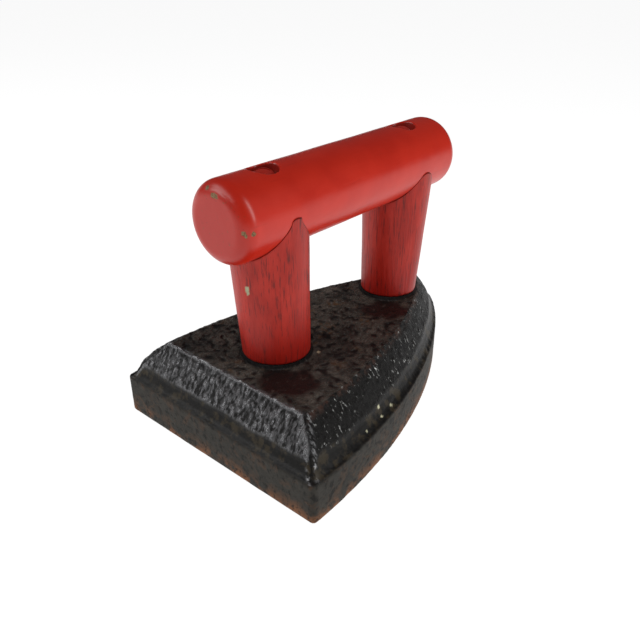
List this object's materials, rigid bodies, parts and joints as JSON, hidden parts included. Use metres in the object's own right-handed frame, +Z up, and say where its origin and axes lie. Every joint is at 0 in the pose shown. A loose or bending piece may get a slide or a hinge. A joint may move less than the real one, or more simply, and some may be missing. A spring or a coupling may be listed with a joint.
{
  "type": "sad iron",
  "caption": "Solid cast-iron clothes iron with a pointed sole, bevelled top and a round wooden bar handle bolted down on wooden posts.",
  "frame": {"origin": "on the sole, under the middle of the casting's length and width", "axes": "+X from heel to toe, +Y to the left, +Z up from the sole"},
  "size_m": [0.1664, 0.1174, 0.1226],
  "materials": {
    "black_casting": "worn black paint over rough casting, bare and rust-stained on the upright band",
    "red_post_wood": "thin red enamel over open wood grain",
    "red_grip_wood": "glossy red enamel, chipped at the ends",
    "bolt_steel": "plain steel with a red-painted head",
    "washer_steel": "dull steel"
  },
  "bodies": {
    "root": {"iron_body": "black_casting", "rear_post": "red_post_wood", "front_post": "red_post_wood", "handle_grip": "red_grip_wood", "rear_bolt": "bolt_steel", "front_bolt": "bolt_steel", "rear_washer": "washer_steel", "front_washer": "washer_steel"}
  },
  "joints": []
}
